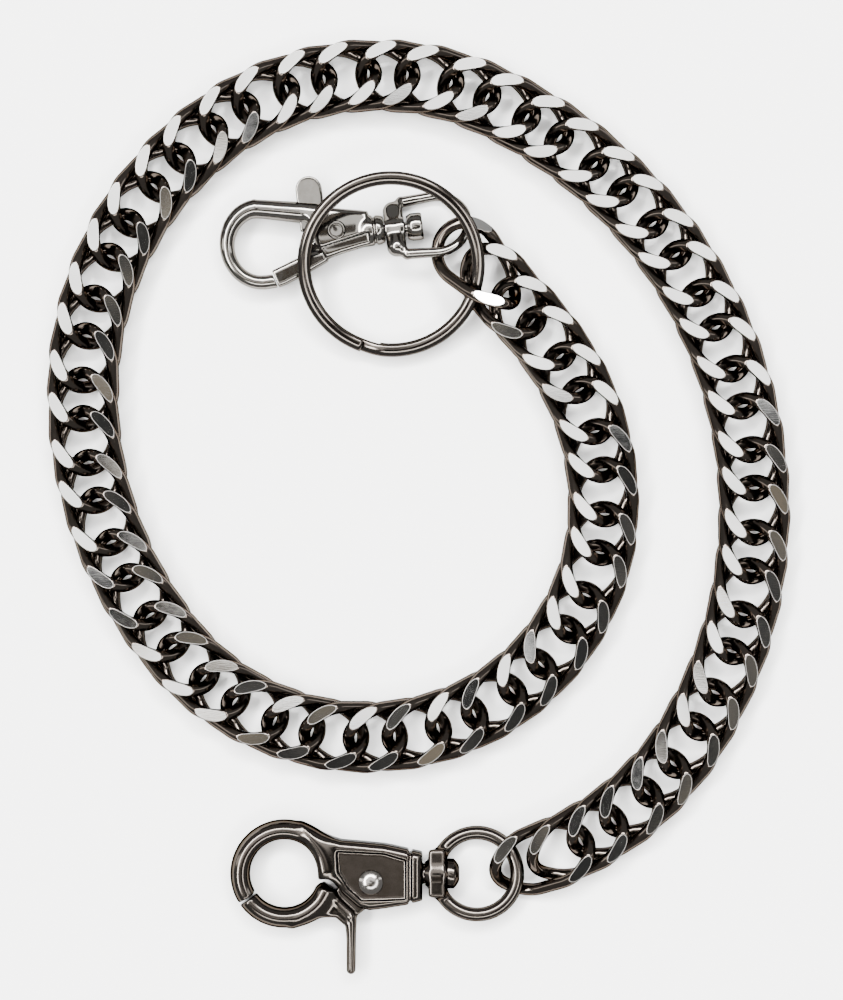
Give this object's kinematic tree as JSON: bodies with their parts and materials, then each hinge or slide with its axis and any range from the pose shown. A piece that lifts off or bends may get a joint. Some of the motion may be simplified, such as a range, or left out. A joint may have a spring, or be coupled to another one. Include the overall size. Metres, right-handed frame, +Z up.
{
  "type": "wallet chain",
  "caption": "Curb-link wallet chain with a trigger swivel clasp at one end, a split key ring and a small thumb-lever swivel clasp at the other, lying coiled.",
  "frame": {"origin": "centre of the coiled object's box at the table, z = 0 being the table", "axes": "+Z up from the table, +Y from the large clasp towards the key ring end, +X along the large clasp from its hook to its swivel"},
  "size_m": [0.129, 0.1624, 0.0121],
  "materials": {
    "chain_gunmetal": "polished dark nickel plate, facets filed bright",
    "clasp_gunmetal": "polished dark nickel plate",
    "key_ring_steel": "polished dark nickel plate",
    "bright_nickel": "polished bright nickel plate",
    "spring_steel": "drawn wire"
  },
  "bodies": {
    "large_clasp": {"clasp_body": "clasp_gunmetal", "clasp_rivet": "clasp_gunmetal", "clasp_spring": "spring_steel", "clasp_swivel_stud": "clasp_gunmetal"},
    "trigger": {"clasp_trigger": "clasp_gunmetal"},
    "swivel_ring": {"swivel_ring": "clasp_gunmetal"},
    "pair_01": {"chain_links_01": "chain_gunmetal"},
    "pair_02": {"chain_links_02": "chain_gunmetal"},
    "pair_03": {"chain_links_03": "chain_gunmetal"},
    "pair_04": {"chain_links_04": "chain_gunmetal"},
    "pair_05": {"chain_links_05": "chain_gunmetal"},
    "pair_06": {"chain_links_06": "chain_gunmetal"},
    "pair_07": {"chain_links_07": "chain_gunmetal"},
    "pair_08": {"chain_links_08": "chain_gunmetal"},
    "pair_09": {"chain_links_09": "chain_gunmetal"},
    "pair_10": {"chain_links_10": "chain_gunmetal"},
    "pair_11": {"chain_links_11": "chain_gunmetal"},
    "pair_12": {"chain_links_12": "chain_gunmetal"},
    "pair_13": {"chain_links_13": "chain_gunmetal"},
    "pair_14": {"chain_links_14": "chain_gunmetal"},
    "pair_15": {"chain_links_15": "chain_gunmetal"},
    "pair_16": {"chain_links_16": "chain_gunmetal"},
    "pair_17": {"chain_links_17": "chain_gunmetal"},
    "pair_18": {"chain_links_18": "chain_gunmetal"},
    "pair_19": {"chain_links_19": "chain_gunmetal"},
    "pair_20": {"chain_links_20": "chain_gunmetal"},
    "pair_21": {"chain_links_21": "chain_gunmetal"},
    "pair_22": {"chain_links_22": "chain_gunmetal"},
    "pair_23": {"chain_links_23": "chain_gunmetal"},
    "pair_24": {"chain_links_24": "chain_gunmetal"},
    "pair_25": {"chain_links_25": "chain_gunmetal"},
    "pair_26": {"chain_links_26": "chain_gunmetal"},
    "pair_27": {"chain_links_27": "chain_gunmetal"},
    "pair_28": {"chain_links_28": "chain_gunmetal"},
    "pair_29": {"chain_links_29": "chain_gunmetal"},
    "pair_30": {"chain_links_30": "chain_gunmetal"},
    "pair_31": {"chain_links_31": "chain_gunmetal"},
    "pair_32": {"chain_links_32": "chain_gunmetal"},
    "pair_33": {"chain_links_33": "chain_gunmetal"},
    "key_ring": {"key_ring": "key_ring_steel"},
    "small_loop": {"small_swivel_loop": "bright_nickel"},
    "small_clasp": {"small_clasp_body": "bright_nickel", "small_clasp_rivet": "bright_nickel", "small_clasp_spring": "spring_steel", "small_clasp_stud": "bright_nickel"},
    "gate": {"small_clasp_gate": "bright_nickel"}
  },
  "joints": [
    {"name": "trigger_hinge", "type": "hinge", "parent": "large_clasp", "child": "trigger", "pos_m": [-0.00829, -0.06503, 0.00304], "axis": [0, 0, 1], "range_deg": [0, 20], "stiffness_Nm_per_rad": 0.03, "springref_deg": -20.05},
    {"name": "clasp_swivel", "type": "hinge", "parent": "large_clasp", "child": "swivel_ring", "pos_m": [0.00266, -0.06373, 0.00304], "axis": [1, 0, 0], "continuous": true},
    {"name": "ring_to_chain", "type": "hinge", "parent": "swivel_ring", "child": "pair_01", "pos_m": [0.01716, -0.06373, 0.00304], "axis": [0, 1, 0], "range_deg": [-8, 8]},
    {"name": "chain_bend_01", "type": "hinge", "parent": "pair_01", "child": "pair_02", "pos_m": [0.03087, -0.05618, 0.00304], "axis": [-0.5299, 0.848, 0], "range_deg": [-6, 6]},
    {"name": "chain_bend_02", "type": "hinge", "parent": "pair_02", "child": "pair_03", "pos_m": [0.04183, -0.04699, 0.00304], "axis": [0.7431, -0.6691, 0], "range_deg": [-6, 6]},
    {"name": "chain_bend_03", "type": "hinge", "parent": "pair_03", "child": "pair_04", "pos_m": [0.0499, -0.03517, 0.00304], "axis": [0.889, -0.4579, 0], "range_deg": [-6, 6]},
    {"name": "chain_bend_04", "type": "hinge", "parent": "pair_04", "child": "pair_05", "pos_m": [0.05522, -0.02184, 0.00304], "axis": [0.96, -0.2798, 0], "range_deg": [-6, 6]},
    {"name": "chain_bend_05", "type": "hinge", "parent": "pair_05", "child": "pair_06", "pos_m": [0.05789, -0.00775, 0.00304], "axis": [0.9958, -0.0915, 0], "range_deg": [-6, 6]},
    {"name": "chain_bend_06", "type": "hinge", "parent": "pair_06", "child": "pair_07", "pos_m": [0.05787, 0.0066, 0.00304], "axis": [-0.9956, -0.0937, 0], "range_deg": [-6, 6]},
    {"name": "chain_bend_07", "type": "hinge", "parent": "pair_07", "child": "pair_08", "pos_m": [0.05522, 0.0207, 0.00304], "axis": [-0.9619, -0.2735, 0], "range_deg": [-6, 6]},
    {"name": "chain_bend_08", "type": "hinge", "parent": "pair_08", "child": "pair_09", "pos_m": [0.05005, 0.03408, 0.00304], "axis": [-0.8959, -0.4442, 0], "range_deg": [-6, 6]},
    {"name": "chain_bend_09", "type": "hinge", "parent": "pair_09", "child": "pair_10", "pos_m": [0.04253, 0.0463, 0.00304], "axis": [-0.7999, -0.6001, 0], "range_deg": [-6, 6]},
    {"name": "chain_bend_10", "type": "hinge", "parent": "pair_10", "child": "pair_11", "pos_m": [0.0329, 0.05694, 0.00304], "axis": [0.6772, 0.7358, 0], "range_deg": [-6, 6]},
    {"name": "chain_bend_11", "type": "hinge", "parent": "pair_11", "child": "pair_12", "pos_m": [0.0215, 0.06565, 0.00304], "axis": [0.5318, 0.8469, 0], "range_deg": [-6, 6]},
    {"name": "chain_bend_12", "type": "hinge", "parent": "pair_12", "child": "pair_13", "pos_m": [0.00866, 0.07203, 0.00304], "axis": [0.34, 0.9404, 0], "range_deg": [-6, 6]},
    {"name": "chain_bend_13", "type": "hinge", "parent": "pair_13", "child": "pair_14", "pos_m": [-0.00536, 0.07478, 0.00304], "axis": [0.0414, 0.9991, 0], "range_deg": [-6, 6]},
    {"name": "chain_bend_14", "type": "hinge", "parent": "pair_14", "child": "pair_15", "pos_m": [-0.01956, 0.0732, 0.00304], "axis": [0.2609, -0.9654, 0], "range_deg": [-6, 6]},
    {"name": "chain_bend_15", "type": "hinge", "parent": "pair_15", "child": "pair_16", "pos_m": [-0.03263, 0.06741, 0.00304], "axis": [0.5391, -0.8422, 0], "range_deg": [-6, 6]},
    {"name": "chain_bend_16", "type": "hinge", "parent": "pair_16", "child": "pair_17", "pos_m": [-0.04352, 0.05813, 0.00304], "axis": [0.7417, -0.6708, 0], "range_deg": [-6, 6]},
    {"name": "chain_bend_17", "type": "hinge", "parent": "pair_17", "child": "pair_18", "pos_m": [-0.05171, 0.04638, 0.00304], "axis": [0.886, -0.4637, 0], "range_deg": [-6, 6]},
    {"name": "chain_bend_18", "type": "hinge", "parent": "pair_18", "child": "pair_19", "pos_m": [-0.0567, 0.03296, 0.00304], "axis": [-0.9739, 0.2271, 0], "range_deg": [-6, 6]},
    {"name": "chain_bend_19", "type": "hinge", "parent": "pair_19", "child": "pair_20", "pos_m": [-0.0582, 0.01872, 0.00304], "axis": [-0.9999, -0.0131, 0], "range_deg": [-6, 6]},
    {"name": "chain_bend_20", "type": "hinge", "parent": "pair_20", "child": "pair_21", "pos_m": [-0.05652, 0.00448, 0.00304], "axis": [-0.9753, -0.2207, 0], "range_deg": [-6, 6]},
    {"name": "chain_bend_21", "type": "hinge", "parent": "pair_21", "child": "pair_22", "pos_m": [-0.05191, -0.0091, 0.00304], "axis": [-0.9081, -0.4187, 0], "range_deg": [-6, 6]},
    {"name": "chain_bend_22", "type": "hinge", "parent": "pair_22", "child": "pair_23", "pos_m": [-0.04458, -0.02142, 0.00304], "axis": [0.8013, 0.5983, 0], "range_deg": [-6, 6]},
    {"name": "chain_bend_23", "type": "hinge", "parent": "pair_23", "child": "pair_24", "pos_m": [-0.03448, -0.03153, 0.00304], "axis": [0.5878, 0.809, 0], "range_deg": [-6, 6]},
    {"name": "chain_bend_24", "type": "hinge", "parent": "pair_24", "child": "pair_25", "pos_m": [-0.0217, -0.0379, 0.00304], "axis": [0.2924, 0.9563, 0], "range_deg": [-6, 6]},
    {"name": "chain_bend_25", "type": "hinge", "parent": "pair_25", "child": "pair_26", "pos_m": [-0.00755, -0.03977, 0.00304], "axis": [-0.0349, 0.9994, 0], "range_deg": [-6, 6]},
    {"name": "chain_bend_26", "type": "hinge", "parent": "pair_26", "child": "pair_27", "pos_m": [0.00643, -0.0369, 0.00304], "axis": [0.3645, -0.9312, 0], "range_deg": [-6, 6]},
    {"name": "chain_bend_27", "type": "hinge", "parent": "pair_27", "child": "pair_28", "pos_m": [0.01857, -0.02942, 0.00304], "axis": [0.6675, -0.7446, 0], "range_deg": [-6, 6]},
    {"name": "chain_bend_28", "type": "hinge", "parent": "pair_28", "child": "pair_29", "pos_m": [0.02732, -0.01817, 0.00304], "axis": [0.886, -0.4637, 0], "range_deg": [-6, 6]},
    {"name": "chain_bend_29", "type": "hinge", "parent": "pair_29", "child": "pair_30", "pos_m": [0.03158, -0.00456, 0.00304], "axis": [0.9923, -0.124, 0], "range_deg": [-6, 6]},
    {"name": "chain_bend_30", "type": "hinge", "parent": "pair_30", "child": "pair_31", "pos_m": [0.031, 0.00971, 0.00304], "axis": [-0.9799, -0.1994, 0], "range_deg": [-6, 6]},
    {"name": "chain_bend_31", "type": "hinge", "parent": "pair_31", "child": "pair_32", "pos_m": [0.026, 0.02309, 0.00304], "axis": [-0.8704, -0.4924, 0], "range_deg": [-6, 6]},
    {"name": "chain_bend_32", "type": "hinge", "parent": "pair_32", "child": "pair_33", "pos_m": [0.01746, 0.03458, 0.00324], "axis": [-0.7738, -0.6334, 0], "range_deg": [-4, 6]},
    {"name": "small_loop_hinge", "type": "hinge", "parent": "pair_33", "child": "small_loop", "pos_m": [0.00472, 0.04802, 0.00442], "axis": [-0.745, -0.344, -0.5715], "range_deg": [0, 20]},
    {"name": "small_clasp_swivel", "type": "hinge", "parent": "small_loop", "child": "small_clasp", "pos_m": [-0.00385, 0.04832, 0.0032], "axis": [0.9925, 0.1219, 0], "range_deg": [-6, 10]},
    {"name": "gate_hinge", "type": "hinge", "parent": "small_clasp", "child": "gate", "pos_m": [-0.01423, 0.04793, 0.0032], "axis": [0, 0, 1], "range_deg": [-22, 0], "stiffness_Nm_per_rad": 0.01, "springref_deg": 20.05},
    {"name": "key_ring_swing", "type": "hinge", "parent": "pair_33", "child": "key_ring", "pos_m": [0.01031, 0.04175, 0.0066], "axis": [0.2588, 0.9276, 0.2695], "range_deg": [0, 60]}
  ]
}
